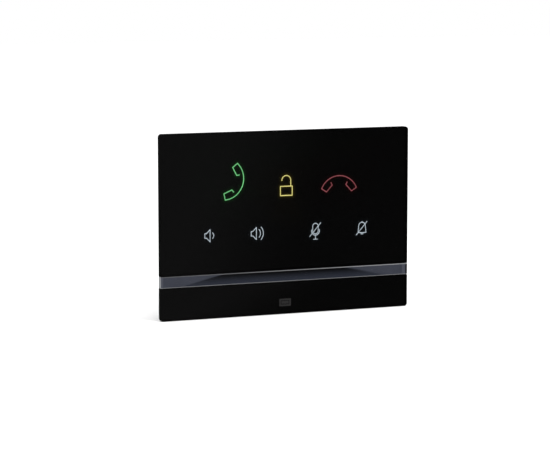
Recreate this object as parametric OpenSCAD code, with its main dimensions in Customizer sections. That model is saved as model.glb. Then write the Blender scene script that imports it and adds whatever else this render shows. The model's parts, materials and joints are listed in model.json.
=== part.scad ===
// Wall answering unit for a door intercom: a two-part black glass front with seven lit
// touch symbols and a smoked light bar, on a shallow housing that hangs on a steel wall bracket.
// Millimetres. The wall is the plane y = 0, the glass faces -Y, +Z is up and +X is to the right.

/* [Front] */
// Width of the glass front
front_w = 168; // [164:1:172]
// Height of the glass front
front_h = 116; // [114:1:120]
// Thickness of the glass plates and of the light bar
glass_t = 4; // [3:0.5:4]
// Radius of the front's four outer corners
corner_r = 2; // [1:0.5:3]
// Ground edge around each glass plate
glass_arris = 0.4; // [0.2:0.1:0.6]
// Bevel along the light bar
bar_bevel = 0.7; // [0.4:0.1:0.9]
// Joint between the light bar and each glass plate
joint_gap = 0.1; // [0.05:0.05:0.2]

/* [Symbols] */
// Line width of the three large symbols
bold_line = 0.65; // [0.6:0.05:0.9]
// Line width of the four small symbols
fine_line = 0.5; // [0.4:0.05:0.6]
// Turn of the answer handset from the hang-up handset
answer_turn = -110; // [-130:1:-90]

/* [Housing] */
// Whole depth from the wall to the glass face
depth = 28; // [28:1:30]
// Width of the rear housing
housing_w = 142; // [142:1:146]
// Height of the rear housing
housing_h = 94; // [94:1:96]
// Wall thickness of the housing
wall_t = 2; // [1.5:0.1:2.2]

/* [Wall bracket] */
// Thickness of the steel bracket
bracket_t = 1.5; // [1.2:0.1:1.6]
// Distance between the two wall-box screws
box_screw_span = 60; // [60:1:62]
// Horizontal distance between the anchor screws
anchor_span_x = 76; // [74:1:78]
// Vertical distance between the anchor screws
anchor_span_z = 52; // [50:1:54]
// Height that the unit lifts to leave its hooks
lift = 7; // [6:0.5:7]

/* [Hidden] */
$fn = 48;
$line = bold_line;
hull_fn = 32;
fit_gap = 0.1;

// Depth planes, from the glass face to the wall
front_y = -depth;
glass_back = front_y + glass_t;
mask_back = glass_back + 0.2;
tape_back = mask_back + 0.3;
touch_back = mask_back + 1;
cells_back = touch_back + 3;
led_back = cells_back + 1;
plate_front = tape_back + 3;
frame_back = plate_front + 1.5;
board_front = frame_back + 2.4;
board_back = board_front + 1.6;
rear_rim = -0.4;
wall_outer = -2.4;
wall_inner = wall_outer - wall_t;

// Heights on the front
top_z = front_h / 2;
bar_top = top_z - 88;
bar_h = 7.4;
bar_bottom = bar_top - bar_h;
mask_inset = 0.5;

// Front frame
frame_inset = 2;
frame_wall = 5;
frame_w = front_w - 2 * frame_inset;
frame_h = front_h - 2 * frame_inset;
window_x = [-60, 60];
window_z = [-36, 43];
cross_z = [-45, -39.5];
reflector_half = frame_w / 2 - 0.6;

// Housing fastenings
post = [65, 41];
post_r = 3.2;
screw_r = 1.25;
screw_clear_r = 1.5;
head_r = 2.6;
head_h = 1.8;
board_x = [-66, 22];
board_post = [[-60, -32], [-60, 32], [16, -32], [16, 32]];
board_post_r = 3;

// Hooks of the bracket, by the lower edge of each neck
hook_x = 50;
hook_z = [27, -30];
hook_w = 10;
hook_reach = 6.2;
lip_t = 1.2;
lip_h = 6;

// Locking screw under the unit
lock_y = -5.5;
lock_r = 1.5;
lock_tip = -33.5;
tab_x = 5;
tab_z = -37;
tab_reach = 8.5;
pocket_x = 8;
pocket_z = -31.5;
pocket_y = -10.5;

// Connector bay and what stands in it
bay_x = [-40, 16];
bay_z = [-26, 22];
bay_wall = 1.5;
jack_x = [-16, 0];
jack_z = [0, 21];
jack_rear = -3.5;
socket_w = 11.9;
socket_y = [-14, -5.8];
socket_depth = 14;
terminal_x = -38.3;
terminal_pitch = 5;
terminal_z = [2, 14];
terminal_rear = -5;
poles = 4;
button_w = 2.6;
button_h = 3;
button_gap = 0.2;
button_y = [-8.5, -4];
reset_at = [9, 10];
reset_stem_r = 1.75;

// Speaker
speaker = [45, 0];
flange_r = 19;
cone_r = 15;
coil_r = 5;
flange_y = [board_back - 1.4, board_back - 0.2];
cone_front = board_back - 1;
magnet_back = -5;
magnet_front = -9;
coil_front = -11;

// Microphone
mic_x = -50;
mic_z = [-50.6, -45.4];
mic_r = 3;

// Symbol windows: centre across, centre up, width, height
ANSWER = [-35, 27, 17, 26];
UNLOCK = [0.7, 23, 12, 16];
HANG_UP = [36.9, 22.7, 28, 14];
VOLUME_DOWN = [-51.1, -6.4, 11, 11];
VOLUME_UP = [-19.2, -6.4, 12, 11];
MUTE_MICROPHONE = [20.6, -6.9, 11, 13];
MUTE_RINGER = [52.3, -6.4, 11, 11];
WINDOWS = [ANSWER, UNLOCK, HANG_UP, VOLUME_DOWN, VOLUME_UP, MUTE_MICROPHONE, MUTE_RINGER];
badge = [0, -51];
badge_size = [8, 4.8];

// ---- helpers: every span is [low, high] ----

// Plain block between three spans
module block(x, y, z) {
    translate([x[0], y[0], z[0]])
        cube([x[1] - x[0], y[1] - y[0], z[1] - z[0]]);
}

// Extrudes a drawing of the front (across, up) along the depth span y
module deep(y) {
    translate([0, y[1], 0])
        rotate([90, 0, 0])
            linear_extrude(y[1] - y[0])
                children();
}

// Rounded rectangle from its spans
module panel(x, z, r) {
    translate([x[0] + r, z[0]])
        square([x[1] - x[0] - 2 * r, z[1] - z[0]]);
    translate([x[0], z[0] + r])
        square([x[1] - x[0], z[1] - z[0] - 2 * r]);
    for (px = [x[0] + r, x[1] - r], pz = [z[0] + r, z[1] - r])
        translate([px, pz])
            circle(r);
}

// Rod along the depth at a point of the front
module rod(at, r, y) {
    deep(y)
        translate(at)
            circle(r);
}

// Plate with a bevel all round both faces and its own radius at the top and bottom corners
module bevelled(x, y, z, r_top, r_bottom, bevel) {
    hull()
        for (px = [0, 1], pz = [0, 1]) {
            r = pz == 1 ? r_top : r_bottom;
            at = [px == 0 ? x[0] + r : x[1] - r, pz == 0 ? z[0] + r : z[1] - r];
            rod(at, r, [y[0] + bevel, y[1] - bevel], $fn = hull_fn);
            rod(at, r - bevel, y, $fn = hull_fn);
        }
}

function about(centre, size) = [centre - size / 2, centre + size / 2];

// ---- symbols, drawn as lines ----

// Line through the points, round at its ends and corners, $line wide
module line(points) {
    for (i = [0 : len(points) - 2]) {
        step = points[i + 1] - points[i];
        translate(points[i])
            rotate(atan2(step[1], step[0]))
                translate([0, -$line / 2])
                    square([norm(step), $line]);
    }
    for (p = points)
        translate(p)
            circle(d = 0.98 * $line);
}

// Part of a ring from angle a to angle b, with round ends
module arc(r, a, b) {
    steps = 6;
    intersection() {
        difference() {
            circle(r + $line / 2);
            circle(r - $line / 2);
        }
        polygon(concat([[0, 0]], [for (i = [0 : steps])
            2 * r * [cos(a + (b - a) * i / steps), sin(a + (b - a) * i / steps)]]));
    }
    for (end = [a, b])
        translate(r * [cos(end), sin(end)])
            circle(d = 0.98 * $line);
}

// Handset in outline, about the centre of its back's arc
module handset() {
    arc_r = 13.06;
    ear = [12, 5.16];
    arc(arc_r, atan2(ear[1], ear[0]), 180 - atan2(ear[1], ear[0]));
    for (side = [-1, 1])
        line([[side * ear[0], ear[1]], [side * 8.65, 3], [side * 4.75, 7.2], [side * 5.6, 8.8]]);
}

// Open padlock, about the centre of its shackle
module padlock() {
    shackle_r = 3;
    body_top = -3.75;
    body_bottom = -9.55;
    body_half = 4;
    arc(shackle_r, 0, 180);
    line([[shackle_r, 0], [shackle_r, body_top]]);
    line([[-body_half, body_top], [body_half, body_top], [body_half, body_bottom],
        [-body_half, body_bottom], [-body_half, body_top]]);
}

// Loudspeaker with one sound wave for each radius listed
module loudspeaker(waves) {
    rear = [-3.5, 1.4];
    neck = [-2.4, 1.4];
    rim = 3.8;
    line([rear, neck, [0, rim], [0, -rim], [neck[0], -neck[1]], [rear[0], -rear[1]], rear]);
    for (w = waves)
        translate([w[0] - w[1], 0])
            arc(w[1], -w[2], w[2]);
}

// Stroke that crosses out a symbol
module slash() {
    half = [3.75, 4.2];
    line([-half, half]);
}

// Crossed-out microphone, about the centre of its lower cap
module muted_microphone() {
    capsule_r = 1.9;
    capsule_h = 2.9;
    cradle_r = 2.75;
    foot_z = -5.3;
    foot_half = 1.35;
    translate([0, capsule_h])
        arc(capsule_r, 0, 180);
    arc(capsule_r, 180, 360);
    for (side = [-capsule_r, capsule_r])
        line([[side, 0], [side, capsule_h]]);
    arc(cradle_r, 165, 375);
    line([[0, -cradle_r], [0, foot_z]]);
    line([[-foot_half, foot_z], [foot_half, foot_z]]);
    translate([-0.15, 0.8])
        slash();
}

// Crossed-out bell, about the centre of its dome
module muted_bell() {
    dome_r = 2.3;
    lip = [2.8, -4.3];
    arc(dome_r, 0, 180);
    line([[0, dome_r], [0, dome_r + 0.4]]);
    line([[dome_r, 0], lip, [-lip[0], lip[1]], [-dome_r, 0]]);
    translate([0, lip[1]])
        arc(0.95, 180, 360);
    translate([-0.27, -1.5])
        slash();
}

// All seven symbols in place on the front
module symbols() {
    translate([-41, 28.7])
        rotate(answer_turn)
            handset();
    translate([0.75, 26.4])
        padlock();
    translate([36.9, 14.9])
        handset();
    translate([-50.4, -6.15])
        loudspeaker([[2.45, 2.2, 52]], $line = fine_line);
    translate([-19.5, -6.25])
        loudspeaker([[2.75, 3.7, 42], [4.7, 5.8, 42]], $line = fine_line);
    translate([20.7, -6.5])
        muted_microphone($line = fine_line);
    translate([53, -4.8])
        muted_bell($line = fine_line);
}

// Outline of a symbol's window, larger all round by grow
module window(w, grow) {
    panel(about(w[0], w[2] + 2 * grow), about(w[1], w[3] + 2 * grow), 1.5);
}

// ---- front ----

module upper_glass() {
    color([0.03, 0.03, 0.035])
        bevelled(about(0, front_w), [front_y, glass_back], [bar_top, top_z],
            corner_r, glass_arris + 0.1, glass_arris);
}

module lower_glass() {
    color([0.03, 0.03, 0.035])
        bevelled(about(0, front_w), [front_y, glass_back], [-top_z, bar_bottom],
            glass_arris + 0.1, corner_r, glass_arris);
}

module light_bar() {
    color([0.2, 0.22, 0.25])
        bevelled(about(0, front_w), [front_y, glass_back],
            [bar_bottom + joint_gap, bar_top - joint_gap],
            bar_bevel + 0.05, bar_bevel + 0.05, bar_bevel);
}

module bar_reflector() {
    half = reflector_half;
    z = [bar_bottom - 0.3, bar_top + 0.3];
    recess_top = 38;
    recess_bottom = 70;
    color([0.45, 0.47, 0.5])
        difference() {
            block([-half, half], [glass_back + 0.05, plate_front - 0.2], z);
            deep([glass_back, plate_front - 1.4])
                polygon([[-recess_bottom, bar_bottom], [recess_bottom, bar_bottom],
                    [recess_top, bar_top], [-recess_top, bar_top]]);
        }
}

module bar_led_board() {
    z = [bar_bottom + 1.6, bar_top + 0.8];
    lamps = 8;
    lamp_step = 14;
    color([0.1, 0.35, 0.2])
        block([-58, 58], [plate_front - 0.1, plate_front + 0.7], z);
    color([0.95, 0.95, 0.85])
        for (i = [0 : lamps - 1])
            block(about((i - (lamps - 1) / 2) * lamp_step, 2.8),
                [plate_front + 0.7, plate_front + 1.4], about(-33, 1.4));
}

module upper_mask() {
    color([0.05, 0.05, 0.05])
        deep([glass_back, mask_back])
            difference() {
                panel(about(0, front_w - 2 * mask_inset),
                    [bar_top + mask_inset, top_z - mask_inset], corner_r - mask_inset);
                symbols();
            }
}

module lower_mask() {
    color([0.05, 0.05, 0.05])
        deep([glass_back, mask_back])
            difference() {
                panel(about(0, front_w - 2 * mask_inset),
                    [mask_inset - top_z, bar_bottom - mask_inset], corner_r - mask_inset);
                panel(about(badge[0], badge_size[0]), about(badge[1], badge_size[1]), 0.6);
            }
}

// Plain plate with a raised border, seen through the window in the lower mask
module badge_plate() {
    margin = 1;
    border = 0.6;
    outer = badge_size + [margin, margin];
    color([0.25, 0.25, 0.26])
        difference() {
            deep([mask_back, tape_back])
                panel(about(badge[0], outer[0]), about(badge[1], outer[1]), 0.8);
            deep([mask_back - 1, mask_back + 0.12])
                panel(about(badge[0], badge_size[0] - 2 * border),
                    about(badge[1], badge_size[1] - 2 * border), 0.5);
        }
}

module glass_adhesive() {
    tape_w = 3;
    edge = frame_inset + 0.5;
    color([0.9, 0.9, 0.88])
        deep([mask_back, tape_back]) {
            difference() {
                panel(about(0, front_w - 2 * edge), about(0, front_h - 2 * edge), 2);
                panel(about(0, front_w - 2 * (edge + tape_w)),
                    about(0, front_h - 2 * (edge + tape_w)), 1);
                panel(about(badge[0], badge_size[0] + 2), about(badge[1], badge_size[1] + 2), 1);
                translate([-front_w / 2, bar_bottom - 0.5])
                    square([front_w, bar_h + 1]);
            }
            panel([window_x[0], window_x[1]], cross_z + [0.5, -0.5], 1);
        }
}

module diffuser(w, tint) {
    color(tint)
        deep([mask_back, touch_back])
            window(w, 0);
}

module answer_diffuser() { diffuser(ANSWER, [0.3, 0.9, 0.4]); }
module unlock_diffuser() { diffuser(UNLOCK, [0.95, 0.85, 0.3]); }
module hang_up_diffuser() { diffuser(HANG_UP, [0.9, 0.2, 0.25]); }
module volume_down_diffuser() { diffuser(VOLUME_DOWN, [0.85, 0.93, 1]); }
module volume_up_diffuser() { diffuser(VOLUME_UP, [0.85, 0.93, 1]); }
module mute_microphone_diffuser() { diffuser(MUTE_MICROPHONE, [0.85, 0.93, 1]); }
module mute_ringer_diffuser() { diffuser(MUTE_RINGER, [0.85, 0.93, 1]); }

module touch_board() {
    color([0.12, 0.3, 0.2])
        deep([mask_back, touch_back])
            difference() {
                panel([-75, 75], [-27, 50], 2);
                for (w = WINDOWS)
                    window(w, fit_gap);
            }
}

module touch_connector() {
    color([0.9, 0.88, 0.8])
        block([-30, -14], [touch_back, touch_back + 1.8], [-22, -18]);
}

// Flat cable that steps back from the touch board to the main board
module ribbon_cable() {
    t = 0.2;
    y0 = touch_back + 0.9;
    y1 = board_front - 0.8;
    color([0.85, 0.8, 0.65])
        translate([-29, 0, 0])
            rotate([90, 0, 90])
                linear_extrude(14)
                    polygon([[y0, -22], [y0, -24.6], [y1 - t, -24.6], [y1 - t, -26],
                        [y1, -26], [y1, -24.6 + t], [y0 + t, -24.6 + t], [y0 + t, -22]]);
}

module light_box() {
    color([0.95, 0.95, 0.93])
        deep([touch_back, cells_back])
            difference() {
                panel([-59, 59], [-15.5, 41], 2);
                for (w = WINDOWS)
                    window(w, -0.5);
            }
}

module led_board() {
    color([0.1, 0.35, 0.2])
        deep([cells_back, led_back])
            panel([-59, 59], [-15.5, 41], 2);
}

// Two lamps behind each large symbol and one behind each small one
module icon_leds() {
    lamp = [2.8, 2.2];
    color([0.95, 0.95, 0.8])
        for (w = WINDOWS, side = w[1] > 0 ? [-0.25, 0.25] : [0])
            block(about(w[0] + side * w[2], lamp[0]), [cells_back - 0.7, cells_back],
                about(w[1], lamp[1]));
}

module led_connector() {
    color([0.15, 0.15, 0.15])
        block([4, 14], [led_back, board_front], [26, 30]);
}

// ---- body ----

module front_frame() {
    inner_w = frame_w - 2 * frame_wall;
    inner_h = frame_h - 2 * frame_wall;
    port_r = 0.75;
    color([0.08, 0.08, 0.085])
        difference() {
            union() {
                deep([tape_back, frame_back])
                    difference() {
                        panel(about(0, frame_w), about(0, frame_h), 3);
                        panel(about(0, inner_w), about(0, inner_h), 2);
                    }
                deep([plate_front, frame_back])
                    difference() {
                        panel(about(0, inner_w + 2), about(0, inner_h + 2), 1);
                        panel(window_x, window_z, 3);
                    }
                block(about(0, inner_w + 1), [tape_back, plate_front + 0.5], cross_z);
                for (sx = [-1, 1], sz = [-1, 1])
                    rod([sx * post[0], sz * post[1]], post_r, [touch_back + 0.3, frame_back]);
            }
            for (sx = [-1, 1], sz = [-1, 1])
                rod([sx * post[0], sz * post[1]], screw_r, [touch_back + 0.8, frame_back + 1]);
            block(about(0, 2 * reflector_half + 0.2), [tape_back - 1, plate_front - 0.1],
                [bar_bottom - 0.5, bar_top + 0.5]);
            translate([mic_x, (tape_back + plate_front) / 2, -frame_h / 2 - 1])
                cylinder(r = port_r, h = frame_wall + 2);
        }
}

// Slots that let the speaker's sound out through the right-hand wall
module sound_slots() {
    slot_l = 9;
    slot_step = 12;
    for (i = [-1 : 1])
        block([housing_w / 2 - wall_t - 1, housing_w / 2 + 1],
            [frame_back + 0.5, frame_back + 2.1], about(i * slot_step, slot_l));
}

// Rows of vents through the top and bottom walls
module vents() {
    vent_w = 1.6;
    vent_step = 4.5;
    rows = 9;
    for (side = [-1, 1], i = [0 : rows - 1])
        block(about(side * 40 + (i - (rows - 1) / 2) * vent_step, vent_w), [-14, -7],
            about(side * (housing_h - wall_t) / 2, 2 * wall_t));
}

module rear_housing() {
    inner_w = housing_w - 2 * wall_t;
    inner_h = housing_h - 2 * wall_t;
    skirt = 2.5;
    bay_outer_x = bay_x + [-bay_wall, bay_wall];
    bay_outer_z = bay_z + [-bay_wall, bay_wall];
    slot_gap = 0.5;
    color([0.11, 0.11, 0.12])
        difference() {
            union() {
                difference() {
                    union() {
                        deep([frame_back, rear_rim - 1])
                            panel(about(0, housing_w), about(0, housing_h), 6);
                        deep([rear_rim - 1.5, rear_rim])
                            panel(about(0, housing_w - 1.2), about(0, housing_h - 1.2), 5.4);
                    }
                    deep([frame_back - 1, wall_inner])
                        panel(about(0, inner_w), about(0, inner_h), 4);
                    deep([wall_outer, 1])
                        panel(about(0, housing_w - 2 * skirt), about(0, housing_h - 2 * skirt), 3.5);
                }
                block(bay_outer_x, [board_back + 0.4, wall_inner + 0.1], bay_outer_z);
                block(about(0, 2 * pocket_x + 2 * bay_wall), [pocket_y - bay_wall, wall_inner + 0.1],
                    [-inner_h / 2 - 0.5, pocket_z + bay_wall]);
                for (sx = [-1, 1], sz = [-1, 1])
                    rod([sx * post[0], sz * post[1]], post_r + 0.6, [frame_back, wall_inner + 0.1]);
                for (p = board_post)
                    rod(p, board_post_r, [board_back, wall_inner + 0.1]);
                rod(speaker, flange_r + 0.5, [board_back + 0.6, wall_inner + 0.1]);
            }
            block(bay_x, [board_back - 1, 1], bay_z);
            block(about(0, 2 * pocket_x), [pocket_y, 1], [-inner_h / 2, pocket_z]);
            rod(speaker, flange_r - 1.5, [board_back, wall_inner]);
            for (sx = [-1, 1], sz = [-1, 1]) {
                rod([sx * post[0], sz * post[1]], screw_clear_r, [frame_back - 1, 1]);
                rod([sx * post[0], sz * post[1]], head_r + 0.3, [wall_outer - 3, 1]);
            }
            for (p = board_post)
                rod(p, screw_r, [board_back - 1, board_back + 7]);
            for (sx = [-1, 1], z = hook_z)
                block(about(sx * hook_x, hook_w + 2 * slot_gap), [wall_inner - 1, 1],
                    [z - lift - slot_gap, z + bracket_t + fit_gap]);
            translate([0, lock_y, -housing_h / 2 - 1])
                cylinder(r = lock_r + 0.05, h = wall_t + 2);
            sound_slots();
            vents();
        }
}

// Pan-head screw along the depth, its head at y and its shank towards the front
module screw(at, y, shank) {
    cross_l = 2.6;
    cross_w = 0.6;
    difference() {
        union() {
            rod(at, head_r, [y, y + head_h]);
            rod(at, screw_r - 0.05, [y - shank, y + 0.1]);
        }
        for (d = [[cross_l, cross_w], [cross_w, cross_l]])
            block(about(at[0], d[0]), [y + head_h - 1, y + head_h + 1], about(at[1], d[1]));
    }
}

module frame_screws() {
    head_y = wall_outer - 3;
    color([0.6, 0.6, 0.62])
        for (sx = [-1, 1], sz = [-1, 1])
            screw([sx * post[0], sz * post[1]], head_y, head_y - (touch_back + 1));
}

// Blank plate for the maker's own data
module rating_label() {
    color([0.85, 0.85, 0.83])
        deep([wall_outer, wall_outer + 0.15])
            panel([12, 42], [-43.5, -34.5], 1);
}

module main_board() {
    color([0.08, 0.32, 0.18])
        difference() {
            deep([board_front, board_back])
                panel(board_x, [-36, 36], 2);
            for (p = board_post)
                rod(p, screw_clear_r, [board_front - 1, board_back + 1]);
        }
}

module board_screws() {
    color([0.6, 0.6, 0.62])
        for (p = board_post)
            mirror([0, 1, 0])
                screw(p, -board_front, board_back - board_front + 5);
}

module main_connector() {
    color([0.9, 0.88, 0.8])
        block([-30, -14], [board_front - 1.6, board_front], [-30, -26]);
}

module processor_shield() {
    color([0.75, 0.76, 0.78])
        deep([board_front - 1.6, board_front])
            panel([-48, -18], [-12, 16], 1);
}

module network_transformer() {
    color([0.07, 0.07, 0.07])
        block([-60, -46], [board_back, board_back + 6], [2, 14]);
}

module capacitors() {
    can_r = 3.2;
    color([0.2, 0.22, 0.3])
        for (x = [-36, -28, -20])
            rod([x, -32], can_r, [board_back, board_back + 9]);
}

// Shielded eight-way socket whose mouth faces down into the bay
module network_jack() {
    middle = (jack_x[0] + jack_x[1]) / 2;
    tongue_w = 6;
    color([0.7, 0.71, 0.73])
        difference() {
            block(jack_x, [board_back, jack_rear], jack_z);
            block(about(middle, socket_w), socket_y, [jack_z[0] - 1, jack_z[0] + socket_depth]);
            block(about(middle, tongue_w), [socket_y[1] - 1, socket_y[1] + 1.2],
                [jack_z[0] - 1, jack_z[0] + socket_depth - 4]);
        }
}

// Eight spring contacts at the back of the socket
module jack_contacts() {
    middle = (jack_x[0] + jack_x[1]) / 2;
    contacts = 8;
    pitch = 1.02;
    color([0.85, 0.7, 0.3])
        for (i = [0 : contacts - 1])
            block(about(middle + (i - (contacts - 1) / 2) * pitch, 0.45),
                [socket_y[0], socket_y[0] + 0.5], [jack_z[0] + 5, jack_z[0] + socket_depth]);
}

function pole_x(i) = terminal_x + terminal_pitch * (i + 0.5);
terminal_mid = (terminal_z[0] + terminal_z[1]) / 2 + 1;

module terminal_block() {
    wire_hole = 2.6;
    color([0.1, 0.45, 0.25])
        difference() {
            block([terminal_x, terminal_x + poles * terminal_pitch], [board_back, terminal_rear],
                terminal_z);
            for (i = [0 : poles - 1]) {
                block(about(pole_x(i), wire_hole), about(board_back + 3, wire_hole),
                    [terminal_z[0] - 1, terminal_z[0] + 8]);
                block(about(pole_x(i), button_w + 2 * button_gap), [button_y[0] - 1.4, 0],
                    about(terminal_mid, button_h + 2 * button_gap));
            }
        }
}

// Push button that opens one spring clamp
module terminal_button(i) {
    slot_w = 1;
    color([0.9, 0.45, 0.1])
        difference() {
            block(about(pole_x(i), button_w), button_y, about(terminal_mid, button_h));
            block(about(pole_x(i), button_w + 1), [button_y[1] - 0.5, button_y[1] + 1],
                about(terminal_mid, slot_w));
        }
}

module terminal_button_1() { terminal_button(0); }
module terminal_button_2() { terminal_button(1); }
module terminal_button_3() { terminal_button(2); }
module terminal_button_4() { terminal_button(3); }

module reset_switch() {
    side = 6;
    color([0.12, 0.12, 0.12])
        difference() {
            block(about(reset_at[0], side), [board_back, board_back + 3.5],
                about(reset_at[1], side));
            rod(reset_at, reset_stem_r + 0.08, [board_back + 2.2, board_back + 4]);
        }
}

module reset_button() {
    color([0.75, 0.1, 0.1])
        rod(reset_at, reset_stem_r, [board_back + 2.8, board_back + 9.5]);
}

// Ring about the speaker's axis from a list of [radius, depth] points
module turned(points) {
    translate([speaker[0], 0, speaker[1]])
        rotate([-90, 0, 0])
            rotate_extrude()
                polygon(points);
}

module speaker_basket() {
    t = 1;
    rim = coil_r + 5.5;
    color([0.3, 0.3, 0.32])
        turned([[cone_r + 1.3, flange_y[0]], [flange_r, flange_y[0]], [flange_r, flange_y[1]],
            [cone_r + 2.2, flange_y[1]], [rim + t, magnet_front], [rim - 3, magnet_front],
            [rim - 3, magnet_front - t], [rim, magnet_front - t], [cone_r + 1.3, flange_y[1]]]);
}

module speaker_magnet() {
    pot_r = coil_r + 5;
    gap = 0.6;
    color([0.6, 0.6, 0.62])
        turned([[0, magnet_front], [coil_r - gap, magnet_front], [coil_r - gap, magnet_back - 1],
            [coil_r + gap + 0.2, magnet_back - 1], [coil_r + gap + 0.2, magnet_front],
            [pot_r, magnet_front], [pot_r, magnet_back], [0, magnet_back]]);
}

module speaker_gasket() {
    color([0.15, 0.15, 0.15])
        turned([[flange_r - 1.5, board_back - 0.2], [flange_r + 0.5, board_back - 0.2],
            [flange_r + 0.5, board_back + 0.6], [flange_r - 1.5, board_back + 0.6]]);
}

// Half roll between the basket's flange and the cone
module speaker_surround() {
    t = 0.3;
    roll_r = 1.3;
    middle = cone_r + 1.9;
    color([0.12, 0.12, 0.12])
        turned(concat(
            [for (i = [0 : 6]) [middle - roll_r * cos(i * 30), flange_y[0] - roll_r * sin(i * 30)]],
            [for (i = [6 : -1 : 0])
                [middle - (roll_r - t) * cos(i * 30), flange_y[0] - (roll_r - t) * sin(i * 30)]]));
}

module speaker_cone() {
    t = 0.4;
    dome = 1.2;
    color([0.2, 0.2, 0.22])
        turned([[cone_r, cone_front], [cone_r, cone_front + t], [coil_r, coil_front + t],
            [0, coil_front - dome + t], [0, coil_front - dome], [coil_r, coil_front]]);
}

module voice_coil() {
    t = 0.3;
    color([0.8, 0.5, 0.25])
        turned([[coil_r - t / 2, coil_front + 0.4], [coil_r + t / 2, coil_front + 0.4],
            [coil_r + t / 2, magnet_front + 1.8], [coil_r - t / 2, magnet_front + 1.8]]);
}

// Two leads from the main board's edge to the speaker's flange
module speaker_leads() {
    lead_r = 0.5;
    color([0.7, 0.15, 0.1])
        for (z = [-2, 2])
            translate([board_x[1], board_front + 0.8, z])
                rotate([0, 90, 0])
                    cylinder(r = lead_r, h = speaker[0] - flange_r - board_x[1]);
}

module microphone() {
    color([0.7, 0.7, 0.72])
        translate([mic_x, (tape_back + plate_front) / 2, mic_z[0] + 1])
            cylinder(r = 1.1, h = 3);
}

module microphone_boot() {
    middle = (tape_back + plate_front) / 2;
    color([0.1, 0.1, 0.1])
        difference() {
            block(about(mic_x, 2 * mic_r + 2), [tape_back + 0.1, plate_front - 0.1], mic_z);
            translate([mic_x, middle, mic_z[0] + 1])
                cylinder(r = 1.1, h = 3);
            translate([mic_x, middle, mic_z[0] - 1])
                cylinder(r = 0.75, h = 2.5);
        }
}

// ---- wall side ----

// Hook lanced out of the bracket: a neck towards the unit and a lip that turns up
module hook(x, z) {
    block(about(x, hook_w), [-hook_reach, -bracket_t + 0.2], [z, z + bracket_t]);
    block(about(x, hook_w), [-hook_reach, -hook_reach + lip_t], [z, z + lip_h]);
}

module wall_bracket() {
    plate_x = about(0, 114);
    plate_z = [-33, 41];
    cable_x = about(0, 46);
    cable_z = about(0, 38);
    box_hole_r = 2.1;
    anchor_hole_r = 2.25;
    color([0.75, 0.76, 0.78])
        difference() {
            union() {
                deep([-bracket_t, 0]) {
                    panel(plate_x, plate_z, 4);
                    translate([-tab_x, tab_z])
                        square([2 * tab_x, plate_z[0] - tab_z + 2]);
                }
                block([-tab_x, tab_x], [-tab_reach, 0], [tab_z, tab_z + bracket_t]);
                for (sx = [-1, 1], z = hook_z)
                    hook(sx * hook_x, z);
            }
            deep([-bracket_t - 1, 1])
                panel(cable_x, cable_z, 3);
            for (sx = [-1, 1], z = hook_z)
                block(about(sx * hook_x, hook_w), [-bracket_t - 0.5, 1],
                    [z + bracket_t, z + hook_reach + lip_h - 1]);
            for (sx = [-1, 1])
                rod([sx * box_screw_span / 2, 0], box_hole_r, [-bracket_t - 1, 1]);
            for (sx = [-1, 1], sz = [-1, 1])
                rod([sx * anchor_span_x / 2, sz * anchor_span_z / 2], anchor_hole_r,
                    [-bracket_t - 1, 1]);
            translate([0, lock_y, tab_z - 1])
                cylinder(r = lock_r + 0.1, h = bracket_t + 2);
        }
}

module lock_screw() {
    cap_r = 2.75;
    cap_h = 2;
    cross_l = 3;
    cross_w = 0.7;
    seat = -housing_h / 2 - 0.05;
    color([0.6, 0.6, 0.62])
        difference() {
            union() {
                translate([0, lock_y, seat - cap_h])
                    cylinder(r = cap_r, h = cap_h);
                translate([0, lock_y, seat - 0.1])
                    cylinder(r = lock_r, h = lock_tip - seat + 0.1);
            }
            for (d = [[cross_l, cross_w], [cross_w, cross_l]])
                block(about(0, d[0]), about(lock_y, d[1]), [seat - cap_h - 1, seat - cap_h + 1]);
        }
}

upper_glass();
lower_glass();
light_bar();
bar_reflector();
bar_led_board();
upper_mask();
lower_mask();
badge_plate();
glass_adhesive();
answer_diffuser();
unlock_diffuser();
hang_up_diffuser();
volume_down_diffuser();
volume_up_diffuser();
mute_microphone_diffuser();
mute_ringer_diffuser();
touch_board();
touch_connector();
ribbon_cable();
light_box();
led_board();
icon_leds();
led_connector();
front_frame();
rear_housing();
frame_screws();
rating_label();
main_board();
board_screws();
main_connector();
processor_shield();
network_transformer();
capacitors();
network_jack();
jack_contacts();
terminal_block();
terminal_button_1();
terminal_button_2();
terminal_button_3();
terminal_button_4();
reset_switch();
reset_button();
speaker_basket();
speaker_magnet();
speaker_gasket();
speaker_surround();
speaker_cone();
voice_coil();
speaker_leads();
microphone();
microphone_boot();
wall_bracket();
lock_screw();
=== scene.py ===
import json
import math

import bmesh
import bpy
import numpy as np
from bpy.props import (BoolProperty, FloatProperty, FloatVectorProperty, PointerProperty)
from mathutils import Matrix, Vector
from mathutils.bvhtree import BVHTree
from mathutils.geometry import delaunay_2d_cdt

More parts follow.
